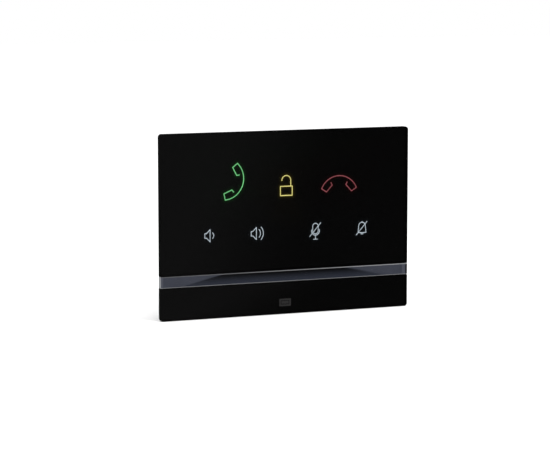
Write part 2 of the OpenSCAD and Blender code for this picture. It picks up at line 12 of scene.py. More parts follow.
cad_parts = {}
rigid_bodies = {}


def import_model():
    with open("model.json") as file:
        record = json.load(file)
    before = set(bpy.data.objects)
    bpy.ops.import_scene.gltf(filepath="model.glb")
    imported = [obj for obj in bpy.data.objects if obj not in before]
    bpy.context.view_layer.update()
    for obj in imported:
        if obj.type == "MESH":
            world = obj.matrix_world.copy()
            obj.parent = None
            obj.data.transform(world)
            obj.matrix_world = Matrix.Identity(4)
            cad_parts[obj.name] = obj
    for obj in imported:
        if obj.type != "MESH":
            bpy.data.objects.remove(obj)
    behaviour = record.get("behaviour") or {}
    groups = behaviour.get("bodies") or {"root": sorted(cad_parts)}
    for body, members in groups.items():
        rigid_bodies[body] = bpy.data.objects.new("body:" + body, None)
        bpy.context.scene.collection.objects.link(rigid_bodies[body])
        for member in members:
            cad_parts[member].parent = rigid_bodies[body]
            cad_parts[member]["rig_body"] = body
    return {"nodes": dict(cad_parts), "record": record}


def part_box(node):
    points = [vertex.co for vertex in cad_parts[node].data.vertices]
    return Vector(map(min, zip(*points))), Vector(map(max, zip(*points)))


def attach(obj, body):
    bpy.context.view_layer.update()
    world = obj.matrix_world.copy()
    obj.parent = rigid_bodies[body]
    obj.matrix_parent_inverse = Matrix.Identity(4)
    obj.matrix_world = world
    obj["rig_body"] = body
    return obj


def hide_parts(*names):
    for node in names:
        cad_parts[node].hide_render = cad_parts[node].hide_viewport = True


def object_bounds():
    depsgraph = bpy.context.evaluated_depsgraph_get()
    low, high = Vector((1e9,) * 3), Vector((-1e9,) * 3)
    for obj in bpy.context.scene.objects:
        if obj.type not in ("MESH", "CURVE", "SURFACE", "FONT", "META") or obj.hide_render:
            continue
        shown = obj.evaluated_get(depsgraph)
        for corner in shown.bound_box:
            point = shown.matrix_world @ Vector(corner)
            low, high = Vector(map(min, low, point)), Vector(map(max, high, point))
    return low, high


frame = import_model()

bl_info = {
    "name": "Glass Intercom Panel",
    "version": (1, 0, 0),
    "blender": (4, 5, 0),
    "location": "3D View > Sidebar > Intercom",
    "description": "Dresses a wall intercom's packed parts in glass, lit symbols, plastic and steel",
    "category": "Object",
}

MM = 0.001
CAD_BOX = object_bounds()
FRONT = CAD_BOX[0].y
FLOOR = CAD_BOX[0].z
DIFFUSERS = {
    "answer_diffuser": "answer",
    "unlock_diffuser": "unlock",
    "hang_up_diffuser": "hang_up",
    "volume_down_diffuser": "plain",
    "volume_up_diffuser": "plain",
    "mute_microphone_diffuser": "plain",
    "mute_ringer_diffuser": "plain",
}


# ---- settings that a user would change ----

def colour(name, description, default):
    """Setting for a colour"""
    return FloatVectorProperty(name=name, description=description, default=default,
                               size=3, min=0, max=1, subtype="COLOR")


def length(name, description, default, low, high):
    """Setting for a length"""
    return FloatProperty(name=name, description=description, default=default,
                         min=low, max=high, unit="LENGTH", precision=5)


def factor(name, description, default, low=0.0, high=1.0):
    """Setting for a plain number"""
    return FloatProperty(name=name, description=description, default=default, min=low, max=high)


class FrontSettings(bpy.types.PropertyGroup):
    """Sizes and colours of the glass front and its lit symbols"""
    polish: length("Polished edge", "Radius of the ground edge round each glass plate",
                   0.22 * MM, 0.1 * MM, 0.8 * MM)
    film_gap: length("Film gap", "Air between the glass and the printed film",
                     0.03 * MM, 0.01 * MM, 0.1 * MM)
    glass_tint: colour("Glass tint", "Light that passes through a glass plate", (0.36, 0.36, 0.37))
    bar_bevel: length("Bar bevel", "Width of the bevel along the light bar",
                      0.42 * MM, 0.3 * MM, 0.9 * MM)
    bar_tint: colour("Bar tint", "Light that passes through the light bar", (0.62, 0.65, 0.7))
    answer: colour("Answer", "Colour of the answer symbol", (0.22, 0.76, 0.28))
    unlock: colour("Unlock", "Colour of the padlock symbol", (0.87, 0.78, 0.25))
    hang_up: colour("Hang up", "Colour of the hang-up symbol", (0.32, 0.085, 0.095))
    plain: colour("Other symbols", "Colour of the four small symbols", (0.70, 0.80, 0.86))
    bold_light: factor("Large symbols", "Light of the three large symbols", 0.86, 0, 5)
    fine_light: factor("Small symbols", "Light of the four small symbols", 0.8, 0, 5)
    halo: factor("Halo", "Light that bleeds into the film beside a symbol", 0.05, 0, 1)
    halo_reach: length("Halo reach", "Distance over which that light fades",
                       1.1 * MM, 0.3 * MM, 3 * MM)
    # The reflector has no lamp of its own: these two colours glow as painted light, the lit slate
    # ends and the recess in painted shade
    bar_ends_glow: colour("Bar ends", "Tone of the reflector's two raised ends", (0.085, 0.088, 0.108))
    bar_middle_glow: colour("Bar middle", "Tone of the reflector's recess at its foot",
                       (0.037, 0.041, 0.055))


class ShellSettings(bpy.types.PropertyGroup):
    """Finish of the mouldings, metal parts and boards behind the glass"""
    # The frame takes a darker copy of this colour as painted shade
    moulding: colour("Moulding", "Colour of the housing and the frame", (0.022, 0.022, 0.024))
    grain: length("Grain", "Size of the moulded texture's bumps", 0.28 * MM, 0.1 * MM, 1 * MM)
    round_edge: length("Edge rounding", "Rounding of the mouldings' edges",
                       0.35 * MM, 0.1 * MM, 0.6 * MM)
    sheet_edge: length("Sheet rounding", "Rounding of the steel bracket's edges",
                       0.18 * MM, 0.05 * MM, 0.4 * MM)
    wear: factor("Wear", "How far the edges are rubbed lighter", 0.35)
    dust: factor("Dust", "Dust on faces that look up", 0.12)
    steel: colour("Steel", "Colour of the plated steel", (0.58, 0.59, 0.61))
    mask: colour("Solder mask", "Colour of the circuit boards", (0.012, 0.11, 0.045))


class StageSettings(bpy.types.PropertyGroup):
    """Camera, floor and studio light"""
    turn: FloatProperty(name="Turn", description="Camera's angle round the object",
                        default=math.radians(-22.216), subtype="ANGLE")
    rise: FloatProperty(name="Rise", description="Camera's angle above the horizon",
                        default=math.radians(7.042), subtype="ANGLE")
    distance: length("Distance", "Camera's distance from the front", 1.382, 0.5, 4)
    lens: FloatProperty(name="Lens", description="Focal length in millimetres",
                        default=144.4, min=20, max=400)
    aim_x: length("Aim across", "Point that the camera looks at, across", -0.00798, -0.1, 0.1)
    aim_z: length("Aim up", "Point that the camera looks at, up", -0.00116, -0.1, 0.1)
    ambient: factor("Ambient", "Even light from all round", 1.18, 0, 3)
    key: factor("Key", "Power of the key light in watts", 17, 0, 200)
    top: factor("Top", "Power of the light above in watts", 6, 0, 200)
    show_floor: BoolProperty(name="Floor", description="Lay the pale floor", default=True)


# ---- small helpers ----

def settings():
    """The intercom's settings in the scene"""
    return bpy.context.scene.intercom


def feed(tree, node, **inputs):
    """Sets a node's inputs, or links them where the value is a socket.

    A keyword is an input's name, with _ for each space, or its place, as i0 or i1.
    """
    for key, value in inputs.items():
        by_place = key[0] == "i" and key[1:].isdigit()
        socket = node.inputs[int(key[1:]) if by_place else key.replace("_", " ")]
        if isinstance(value, bpy.types.NodeSocket):
            tree.links.new(value, socket)
        else:
            socket.default_value = value


def put(tree, kind, setup=None, **inputs):
    """Adds a node, sets its own properties and feeds its inputs"""
    node = tree.nodes.new(kind)
    for key, value in (setup or {}).items():
        setattr(node, key, value)
    feed(tree, node, **inputs)
    return node


def maths(tree, operation, a, b=0.0, clamp=False):
    """Result of a sum on sockets or numbers"""
    return put(tree, "ShaderNodeMath", {"operation": operation, "use_clamp": clamp},
               i0=a, i1=b).outputs[0]


def fade(tree, value, low, high, start=0.0, end=1.0):
    """Smooth step from start to end while value goes from low to high"""
    node = put(tree, "ShaderNodeMapRange", {"interpolation_type": "SMOOTHSTEP"}, Value=value,
               From_Min=low, From_Max=high, To_Min=start, To_Max=end)
    return node.outputs["Result"]


def split_axes(tree, place):
    """Sockets X, Y and Z of a vector"""
    return put(tree, "ShaderNodeSeparateXYZ", Vector=place).outputs


def noise(tree, place, scale, detail):
    """Fractal noise at a place"""
    node = put(tree, "ShaderNodeTexNoise", Vector=place, Scale=scale, Detail=detail)
    return node.outputs["Fac"]


def blend_colours(tree, mask, a, b):
    """Colour between a and b, each a socket or three numbers"""
    a, b = (c if isinstance(c, bpy.types.NodeSocket) else (*c[:3], 1) for c in (a, b))
    return put(tree, "ShaderNodeMix", {"data_type": "RGBA"}, i0=mask, i6=a, i7=b).outputs[2]


def new_group(name, inputs, outputs):
    """Empty shader group with named sockets: inputs are (name, kind, default)"""
    tree = bpy.data.node_groups.new(name, "ShaderNodeTree")
    for label, kind, default in inputs:
        socket = tree.interface.new_socket(label, in_out="INPUT", socket_type=kind)
        if default is not None:
            socket.default_value = default
    for label, kind in outputs:
        tree.interface.new_socket(label, in_out="OUTPUT", socket_type=kind)
    return tree, tree.nodes.new("NodeGroupInput").outputs, tree.nodes.new("NodeGroupOutput").inputs


def grain_group():
    """Spark-eroded mould texture: rounded bumps broken up by finer noise"""
    tree, given, out = new_group(
        "Moulded Grain",
        [("Vector", "NodeSocketVector", None), ("Scale", "NodeSocketFloat", 3000.0)],
        [("Height", "NodeSocketFloat"), ("Tone", "NodeSocketFloat")])
    bumps = put(tree, "ShaderNodeTexVoronoi", {"feature": "SMOOTH_F1"},
                Vector=given["Vector"], Scale=given["Scale"], Smoothness=0.6)
    fine = put(tree, "ShaderNodeTexNoise", Vector=given["Vector"],
               Scale=maths(tree, "MULTIPLY", given["Scale"], 1.7), Detail=3.0)
    broad = noise(tree, given["Vector"], 45.0, 4.0)
    height = maths(tree, "ADD", bumps.outputs["Distance"],
                   maths(tree, "MULTIPLY", fine.outputs["Fac"], 0.5))
    tree.links.new(height, out["Height"])
    tree.links.new(fade(tree, broad, 0.35, 0.65), out["Tone"])
    return tree


def rolled_group():
    """Rolled sheet: long faint streaks and the cloudy spangle of plating"""
    tree, given, out = new_group(
        "Rolled Metal",
        [("Vector", "NodeSocketVector", None), ("Stretch", "NodeSocketVector", (20.0, 900.0, 900.0))],
        [("Height", "NodeSocketFloat"), ("Tone", "NodeSocketFloat")])
    run = put(tree, "ShaderNodeVectorMath", {"operation": "MULTIPLY"},
              i0=given["Vector"], i1=given["Stretch"])
    streaks = noise(tree, run.outputs[0], 4.0, 4.0)
    spangle = put(tree, "ShaderNodeTexVoronoi", Vector=given["Vector"], Scale=420.0)
    cloud = noise(tree, given["Vector"], 90.0, 5.0)
    mixed = maths(tree, "ADD", maths(tree, "MULTIPLY", spangle.outputs["Color"], 0.35),
                  maths(tree, "MULTIPLY", cloud, 0.65))
    tree.links.new(streaks, out["Height"])
    tree.links.new(mixed, out["Tone"])
    return tree


def wear_group():
    """Mask of rubbed edges, broken up by noise"""
    tree, given, out = new_group(
        "Edge Wear",
        [("Vector", "NodeSocketVector", None), ("Width", "NodeSocketFloat", 0.0004),
         ("Amount", "NodeSocketFloat", 0.35)],
        [("Mask", "NodeSocketFloat")])
    soft = put(tree, "ShaderNodeBevel", {"samples": 4}, Radius=given["Width"])
    hard = tree.nodes.new("ShaderNodeNewGeometry")
    turn = put(tree, "ShaderNodeVectorMath", {"operation": "DOT_PRODUCT"},
               i0=soft.outputs["Normal"], i1=hard.outputs["True Normal"])
    edge = fade(tree, turn.outputs["Value"], 0.995, 0.85)
    patch = noise(tree, given["Vector"], 260.0, 4.0)
    broken = maths(tree, "MULTIPLY", edge, fade(tree, patch, 0.35, 0.7))
    tree.links.new(maths(tree, "MULTIPLY", broken, given["Amount"], True), out["Mask"])
    return tree


def dust_group():
    """Mask of dust that has settled on faces that look up, in a loose drift"""
    tree, given, out = new_group(
        "Settled Dust",
        [("Vector", "NodeSocketVector", None), ("Amount", "NodeSocketFloat", 0.12)],
        [("Mask", "NodeSocketFloat")])
    surface = tree.nodes.new("ShaderNodeNewGeometry")
    axes = split_axes(tree, surface.outputs["Normal"])
    up = fade(tree, axes["Z"], 0.2, 0.95, 0.15, 1.0)
    drift = noise(tree, given["Vector"], 70.0, 6.0)
    specks = noise(tree, given["Vector"], 2600.0, 2.0)
    loose = maths(tree, "MULTIPLY", fade(tree, drift, 0.3, 0.75),
                  fade(tree, specks, 0.45, 0.62, 0.4, 1.0))
    lying = maths(tree, "MULTIPLY", maths(tree, "MULTIPLY", up, loose), given["Amount"], True)
    tree.links.new(lying, out["Mask"])
    return tree


GROUP_MAKERS = {"grain": grain_group, "rolled": rolled_group, "wear": wear_group,
                "dust": dust_group}
GROUPS = {}
MATERIALS = {}


def effect(tree, kind, **inputs):
    """Adds a shared shader group, which is built when it is first used"""
    if kind not in GROUPS:
        GROUPS[kind] = GROUP_MAKERS[kind]()
    return put(tree, "ShaderNodeGroup", {"node_tree": GROUPS[kind]}, **inputs)


def blank(name):
    """New material with its tree, its shader and the piece's own coordinates"""
    material = bpy.data.materials.new(name)
    material.use_nodes = True
    tree = material.node_tree
    shader = tree.nodes["Principled BSDF"]
    place = tree.nodes.new("ShaderNodeTexCoord").outputs["Object"]
    MATERIALS[name] = material
    return material, tree, shader, place


def relief(tree, shader, height, depth):
    """Bumps of the given depth"""
    bump = put(tree, "ShaderNodeBump", Height=height, Distance=depth, Strength=1.0)
    tree.links.new(bump.outputs["Normal"], shader.inputs["Normal"])


# ---- materials ----

def moulded(name, base, rough, grain, depth):
    """Moulded plastic or rubber with mould texture, rubbed edges and a little dust"""
    shell = settings().shell
    material, tree, shader, place = blank(name)
    texture = effect(tree, "grain", Vector=place, Scale=1.0 / grain)
    rubbed = effect(tree, "wear", Vector=place, Width=0.4 * MM, Amount=shell.wear)
    dusty = effect(tree, "dust", Vector=place, Amount=shell.dust)
    lighter = [min(1.0, c * 1.25 + 0.004) for c in base]
    worn = [min(1.0, c * 1.8 + 0.02) for c in base]
    tone = blend_colours(tree, texture.outputs["Tone"], base, lighter)
    tone = blend_colours(tree, rubbed.outputs["Mask"], tone, worn)
    tone = blend_colours(tree, dusty.outputs["Mask"], tone, (0.33, 0.31, 0.28))
    gloss = fade(tree, texture.outputs["Tone"], 0, 1, rough, rough + 0.09)
    gloss = maths(tree, "ADD", gloss, maths(tree, "MULTIPLY", dusty.outputs["Mask"], 0.4), True)
    feed(tree, shader, Base_Color=tone, Roughness=gloss)
    relief(tree, shader, texture.outputs["Height"], depth)
    return material


def metal(name, base, rough, stretch=(20.0, 900.0, 900.0)):
    """Plated or rolled metal with streaks and spangle"""
    material, tree, shader, place = blank(name)
    sheet = effect(tree, "rolled", Vector=place, Stretch=stretch)
    rubbed = effect(tree, "wear", Vector=place, Width=0.3 * MM, Amount=0.6)
    darker = [c * 0.78 for c in base]
    bright = [min(1.0, c * 1.25) for c in base]
    tone = blend_colours(tree, sheet.outputs["Tone"], darker, base)
    tone = blend_colours(tree, rubbed.outputs["Mask"], tone, bright)
    gloss = fade(tree, sheet.outputs["Tone"], 0.2, 0.8, rough + 0.08, rough - 0.06)
    feed(tree, shader, Base_Color=tone, Metallic=1.0, Roughness=gloss)
    relief(tree, shader, sheet.outputs["Height"], 0.004 * MM)
    return material


def board(name, base):
    """Circuit board: solder mask over copper tracks that run on a coarse grid, with tinned vias"""
    material, tree, shader, place = blank(name)
    axes = split_axes(tree, place)
    flat = put(tree, "ShaderNodeCombineXYZ", X=axes["X"], Y=axes["Z"])
    tracks = put(tree, "ShaderNodeTexBrick", {"offset": 0.5, "squash": 0.6},
                 Vector=flat.outputs[0], Scale=260.0, Mortar_Size=0.05, Mortar_Smooth=0.2,
                 Brick_Width=1.9, Row_Height=0.31)
    patches = noise(tree, flat.outputs[0], 110.0, 1.0)
    copper = maths(tree, "MULTIPLY", tracks.outputs["Fac"],
                   fade(tree, patches, 0.46, 0.5))
    vias = put(tree, "ShaderNodeTexVoronoi", Vector=flat.outputs[0], Scale=240.0, Randomness=0.7)
    tinned = fade(tree, vias.outputs["Distance"], 0.13, 0.1)
    raised = [min(1.0, c * 1.9 + 0.01) for c in base]
    tone = blend_colours(tree, copper, base, raised)
    tone = blend_colours(tree, tinned, tone, (0.62, 0.6, 0.55))
    feed(tree, shader, Base_Color=tone, Metallic=maths(tree, "MULTIPLY", tinned, 0.9),
         Roughness=fade(tree, copper, 0, 1, 0.32, 0.25), Coat_Weight=0.3)
    relief(tree, shader, maths(tree, "ADD", copper, tinned), 0.03 * MM)
    return material


def clear(name, tint, rough, ior, scuff):
    """Clear solid with faint wipe marks"""
    material, tree, shader, place = blank(name)
    wipe = put(tree, "ShaderNodeVectorMath", {"operation": "MULTIPLY"}, i0=place,
               i1=(60.0, 200.0, 200.0))
    marks = noise(tree, wipe.outputs[0], 1.0, 5.0)
    gloss = fade(tree, marks, 0.45, 0.75, rough, rough + scuff)
    feed(tree, shader, Base_Color=(*tint, 1), Transmission_Weight=1.0, IOR=ior, Roughness=gloss)
    return material


def lit(name, tint, strength):
    """Glowing diffuser whose light is a little brighter over its lamps"""
    material, tree, shader, place = blank(name)
    pool = noise(tree, place, 140.0, 2.0)
    bright = [min(1.0, c * 1.12) for c in tint]
    glow = blend_colours(tree, fade(tree, pool, 0.35, 0.65),
                         [c * 0.88 for c in tint], bright)
    feed(tree, shader, Base_Color=(*[0.3 * c for c in tint], 1), Roughness=0.6,
         Emission_Color=glow, Emission_Strength=strength)
    return material


def film(name):
    """Black printed film: the halo beside each symbol comes from the sheet's own attribute"""
    material, tree, shader, place = blank(name)
    halo = put(tree, "ShaderNodeAttribute", {"attribute_name": "halo"})
    speck = noise(tree, place, 3500.0, 2.0)
    tone = blend_colours(tree, fade(tree, speck, 0.4, 0.6),
                         (0.0015, 0.0015, 0.0016), (0.003, 0.003, 0.003))
    feed(tree, shader, Base_Color=tone, Roughness=0.65, Emission_Color=halo.outputs["Color"],
         Emission_Strength=1.0, Specular_IOR_Level=0.0)
    return material


def edge_paint(name):
    """Black lacquer on the ground edges of the glass"""
    material, tree, shader, place = blank(name)
    ripple = noise(tree, place, 900.0, 3.0)
    tone = blend_colours(tree, ripple, (0.002, 0.002, 0.002), (0.006, 0.006, 0.006))
    feed(tree, shader, Base_Color=tone, Specular_IOR_Level=0.0,
         Roughness=fade(tree, ripple, 0.3, 0.7, 0.42, 0.6))
    relief(tree, shader, ripple, 0.01 * MM)
    return material


def reflector(name, low, high):
    """Smoked reflector that glows as painted light: lit slate ends, and a dark recess in painted
    shade that brightens towards its foot
    """
    front = settings().front
    material, tree, shader, place = blank(name)
    axes = split_axes(tree, place)
    rise = put(tree, "ShaderNodeMapRange", Value=axes["Z"], From_Min=low.z, From_Max=high.z)
    foot_half, slant = 71 * MM, 34 * MM
    half = put(tree, "ShaderNodeMath", {"operation": "MULTIPLY_ADD"}, i0=rise.outputs["Result"],
               i1=-slant, i2=foot_half)
    aside = maths(tree, "SUBTRACT", maths(tree, "ABSOLUTE", axes["X"]), half.outputs[0])
    ends = fade(tree, aside, -5 * MM, 4 * MM)
    # Painted shade: the recess is darkest at its top and brightens towards its foot
    recess = blend_colours(tree, fade(tree, rise.outputs["Result"], 0.05, 0.8),
                           front.bar_middle_glow, [0.01 * c for c in front.bar_middle_glow])
    cloud = noise(tree, place, 90.0, 3.0)
    slate = blend_colours(tree, fade(tree, cloud, 0.3, 0.7),
                          [0.85 * c for c in front.bar_ends_glow], front.bar_ends_glow)
    tone = blend_colours(tree, ends, recess, slate)
    # The tone glows as emission over a near-black base: painted light, for the reflector has no lamp
    feed(tree, shader, Base_Color=blend_colours(tree, 0.95, tone, (0.0, 0.0, 0.0)),
         Roughness=0.6, Specular_IOR_Level=0.05, Emission_Color=tone, Emission_Strength=1.0)
    return material


def rim_distance(tree, place, low, high):
    """Distance inwards from the edges of an upright rectangle"""
    axes = split_axes(tree, place)
    middle, half = (low + high) / 2, (high - low) / 2
    across = maths(tree, "SUBTRACT", half.x, maths(tree, "ABSOLUTE", maths(
        tree, "SUBTRACT", axes["X"], middle.x)))
    up = maths(tree, "SUBTRACT", half.z, maths(tree, "ABSOLUTE", maths(
        tree, "SUBTRACT", axes["Z"], middle.z)))
    return maths(tree, "MINIMUM", across, up)


def label(name, low, high):
    """Blank silver label with a thin printed border"""
    material, tree, shader, place = blank(name)
    near = rim_distance(tree, place, low, high)
    line = maths(tree, "MULTIPLY", fade(tree, near, 0.7 * MM, 0.75 * MM),
                 fade(tree, near, 1.0 * MM, 0.95 * MM))
    fibre = noise(tree, place, 900.0, 4.0)
    tone = blend_colours(tree, fibre, (0.62, 0.62, 0.6), (0.72, 0.72, 0.7))
    tone = blend_colours(tree, line, tone, (0.05, 0.05, 0.05))
    feed(tree, shader, Base_Color=tone, Metallic=fade(tree, fibre, 0, 1, 0.3, 0.45),
         Roughness=0.42)
    return material


# ---- meshes ----

def rounded_outline(low, high, radii, inset):
    """Corner points of a rounded rectangle in x and z, from the lower left one anticlockwise"""
    steps = 8
    centres = ((low.x, low.z, 1, 1, 180), (high.x, low.z, -1, 1, 270),
               (high.x, high.z, -1, -1, 0), (low.x, high.z, 1, -1, 90))
    points = []
    for (x, z, to_x, to_z, start), radius in zip(centres, radii):
        small = max(radius - inset, 0.02 * MM)
        reach = inset + small
        for step in range(steps + 1):
            angle = math.radians(start + 90 * step / steps)
            points.append((x + to_x * reach + small * math.cos(angle),
                           z + to_z * reach + small * math.sin(angle)))
    return points


def stacked(rings):
    """Closed solid through rings of equally many points; each ring is a list of (x, y, z)"""
    bm = bmesh.new()
    loops = [[bm.verts.new(p) for p in ring] for ring in rings]
    count = len(loops[0])
    for near, far in zip(loops, loops[1:]):
        for i in range(count):
            j = (i + 1) % count
            bm.faces.new((near[i], near[j], far[j], far[i]))
    bm.faces.new(list(reversed(loops[0])))
    bm.faces.new(loops[-1])
    bmesh.ops.recalc_face_normals(bm, faces=bm.faces)
    return bm


def to_mesh(bm, name, smooth=True, angle=35):
    """Mesh that is smooth but for edges sharper than the angle, or flat all over"""
    if smooth:
        for face in bm.faces:
            face.smooth = True
        for edge in bm.edges:
            if len(edge.link_faces) == 2 and edge.calc_face_angle(0) > math.radians(angle):
                edge.smooth = False
    mesh = bpy.data.meshes.new(name)
    bm.to_mesh(mesh)
    bm.free()
    return mesh


def node_slot(node):
    """Material slot that the record gives a CAD node"""
    for entry in frame["record"]["subparts"]:
        if entry["node"] == node:
            return entry["material_slot"]
    raise RuntimeError(f"the record gives {node} no material slot")


def paint(node, material):
    """Gives a CAD node a material and leaves its mesh alone"""
    mesh = frame["nodes"][node].data
    mesh.materials.clear()
    mesh.materials.append(material)
    for polygon in mesh.polygons:
        polygon.material_index = 0


def replace_node(node, mesh, *materials):
    """Puts a finished mesh in the place of the CAD node that it details, on the same body"""
    piece = bpy.data.objects.new(node + "_piece", mesh)
    bpy.context.scene.collection.objects.link(piece)
    for material in materials:
        mesh.materials.append(material)
    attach(piece, frame["nodes"][node]["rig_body"])
    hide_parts(node)


def clean_copy(node):
    """The node's mesh as a closed solid with flat faces in one piece"""
    bm = bmesh.new()
    bm.from_mesh(frame["nodes"][node].data)
    bmesh.ops.remove_doubles(bm, verts=bm.verts, dist=0.003 * MM)
    bmesh.ops.dissolve_limit(bm, angle_limit=math.radians(0.6), verts=bm.verts, edges=bm.edges,
                             delimit={"NORMAL"})
    return bm


def baked(piece):
    """The evaluated mesh of an object that is then removed"""
    depsgraph = bpy.context.evaluated_depsgraph_get()
    mesh = bpy.data.meshes.new_from_object(piece.evaluated_get(depsgraph), depsgraph=depsgraph)
    bpy.data.objects.remove(piece)
    return mesh


def rounded_copy(node, width):
    """The node's mesh with its sharp edges rounded"""
    bm = clean_copy(node)
    for face in bm.faces:
        face.smooth = True
    mesh = bpy.data.meshes.new(node + "_soft")
    bm.to_mesh(mesh)
    bm.free()
    carrier = bpy.data.objects.new(node + "_soft", mesh)
    bpy.context.scene.collection.objects.link(carrier)
    bevel = carrier.modifiers.new("Rounding", "BEVEL")
    bevel.width = width
    bevel.segments = 2
    bevel.limit_method = "ANGLE"
    bevel.angle_limit = math.radians(40)
    bevel.use_clamp_overlap = True
    return baked(carrier)


def soft_piece(node, width, flat_from):
    """Puts a copy with rounded edges in a CAD node's place; faces of that area and up stay flat"""
    mesh = rounded_copy(node, width)
    mesh.materials.clear()
    for polygon in mesh.polygons:
        polygon.material_index = 0
        polygon.use_smooth = polygon.area < flat_from
    replace_node(node, mesh, MATERIALS[node_slot(node)])


# ---- glass front ----

def glass_plate(node, top_radius, foot_radius):
    """Glass plate with polished edges, painted black round its rim and clear over its face"""
    front = settings().front
    low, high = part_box(node)
    radii = (foot_radius, foot_radius, top_radius, top_radius)
    back = high.y - front.film_gap
    polish = front.polish
    painted, bevel = 1.2 * MM, 0.25 * MM
    rings = []
    for y, inset in ((back, painted), (back, bevel), (back - bevel, 0.0)):
        rings.append([(x, y, z) for x, z in rounded_outline(low, high, radii, inset)])
    steps = 6
    for step in range(steps + 1):
        angle = math.radians(90 * step / steps)
        y = low.y + polish * (1 - math.sin(angle))
        inset = polish * (1 - math.cos(angle))
        rings.append([(x, y, z) for x, z in rounded_outline(low, high, radii, inset)])
    bm = stacked(rings)
    for face in bm.faces:
        rim = abs(face.normal.y) < 0.9 or len(face.verts) == 4
        if rim and face.calc_center_median().y > low.y + 0.4 * polish:
            face.material_index = 1
    return to_mesh(bm, node + "_plate", angle=50)


def front_segments(node):
    """Edges round the front face of a printed film, as an array of (x, z, x, z)"""
    bm = clean_copy(node)
    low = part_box(node)[0]
    found = []
    for edge in bm.edges:
        flat = [abs(v.co.y - low.y) < 0.01 * MM for v in edge.verts]
        facing = [f.normal.y < -0.9 for f in edge.link_faces]
        if all(flat) and any(facing) and not all(facing):
            a, b = (v.co for v in edge.verts)
            found.append((a.x, a.z, b.x, b.z))
    bm.free()
    return np.array(found)


def distance_to(points, segments):
    """Distance from each point to the nearest of the segments"""
    nearest = np.full(len(points), 1.0)
    start, end = segments[:, :2], segments[:, 2:]
    along = end - start
    length = np.maximum((along ** 2).sum(1), 1e-14)
    for first in range(0, len(points), 500):
        part = points[first:first + 500, None, :]
        share = np.clip(((part - start) * along).sum(2) / length, 0, 1)
        gap = part - (start + share[..., None] * along)
        nearest[first:first + 500] = np.sqrt((gap ** 2).sum(2)).min(1)
    return nearest


def inside(segments, low, high):
    """Whether the middle of each segment lies in a box, seen from the front"""
    x, z = ((segments[:, :2] + segments[:, 2:]) / 2).T
    return (x > low.x) & (x < high.x) & (z > low.z) & (z < high.z)


def film_mesh(node):
    """Printed film whose face is fine enough near the symbols to carry their halo"""
    front = settings().front
    low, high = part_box(node)
    segments = front_segments(node)
    groups = []
    plain_share, saturation = 0.3, 2.4
    for diffuser, tint in DIFFUSERS.items():
        near = segments[inside(segments, *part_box(diffuser))]
        if not len(near):
            raise RuntimeError(f"the film has no symbol over {diffuser}")
        light = getattr(front, tint)
        peak = max(light)
        share = peak * (plain_share if tint == "plain" else 1.0)
        groups.append((near, [share * (c / peak) ** saturation for c in light]))
    corners = {}
    edges = []
    for x0, z0, x1, z1 in segments:
        keys = [(round(x0 * 1e7), round(z0 * 1e7)), (round(x1 * 1e7), round(z1 * 1e7))]
        for key, point in zip(keys, ((x0, z0), (x1, z1))):
            corners.setdefault(key, (len(corners), point))
        pair = tuple(corners[key][0] for key in keys)
        if pair[0] != pair[1]:
            edges.append(pair)
    points = [point for _, point in sorted(corners.values())]
    pitch = 0.42 * MM
    reach = 2.4 * front.halo_reach
    for near, _ in groups:
        span = near.reshape(-1, 2)
        xs = np.arange(span[:, 0].min() - reach, span[:, 0].max() + reach, pitch)
        zs = np.arange(span[:, 1].min() - reach, span[:, 1].max() + reach, pitch)
        grid = np.stack(np.meshgrid(xs, zs), -1).reshape(-1, 2)
        grid[:, 0] += np.where(np.arange(len(grid)) // len(xs) % 2, pitch / 2, 0)
        away = distance_to(grid, near)
        keep = ((away > 0.16 * MM) & (away < reach) & (grid[:, 0] > low.x + pitch)
                & (grid[:, 0] < high.x - pitch) & (grid[:, 1] > low.z + pitch)
                & (grid[:, 1] < high.z - pitch))
        points += [tuple(p) for p in grid[keep]]
    result = delaunay_2d_cdt([Vector(p) for p in points], edges, [], 0, 1e-7)
    flat, faces = result[0], result[2]
    bm = bmesh.new()
    bm.from_mesh(frame["nodes"][node].data)
    tree = BVHTree.FromBMesh(bm)
    bm.free()
    solid = []
    for face in faces:
        x, z = sum((flat[i] for i in face), Vector((0, 0))) / len(face)
        hit = tree.ray_cast(Vector((x, low.y - MM, z)), Vector((0, 1, 0)), 1.1 * MM)
        if hit[0] is not None and hit[0].y < low.y + 0.02 * MM:
            solid.append(face)
    bm = bmesh.new()
    used = sorted({i for face in solid for i in face})
    fronts = {i: bm.verts.new((flat[i].x, low.y, flat[i].y)) for i in used}
    backs = {i: bm.verts.new((flat[i].x, high.y, flat[i].y)) for i in used}
    sides = dict.fromkeys(side for face in solid for side in zip(face, face[1:] + face[:1]))
    for face in solid:
        bm.faces.new([fronts[i] for i in face])
        bm.faces.new([backs[i] for i in reversed(face)])
    for i, j in sides:
        if (j, i) not in sides:
            bm.faces.new((fronts[j], fronts[i], backs[i], backs[j]))
    bmesh.ops.recalc_face_normals(bm, faces=bm.faces)
    mesh = bpy.data.meshes.new(node + "_piece")
    bm.to_mesh(mesh)
    bm.free()
    places = np.array([(v.co.x, v.co.z) for v in mesh.vertices])
    halo = np.zeros((len(places), 4), np.float32)
    halo[:, 3] = 1
    for near, tint in groups:
        close = distance_to(places, near)
        strength = front.halo * np.exp(-(close / front.halo_reach) ** 1.5)
        strength[close > reach] = 0
        for channel in range(3):
            halo[:, channel] += strength * tint[channel]
    attribute = mesh.attributes.new("halo", "FLOAT_COLOR", "POINT")
    attribute.data.foreach_set("color", halo.ravel())
    return mesh


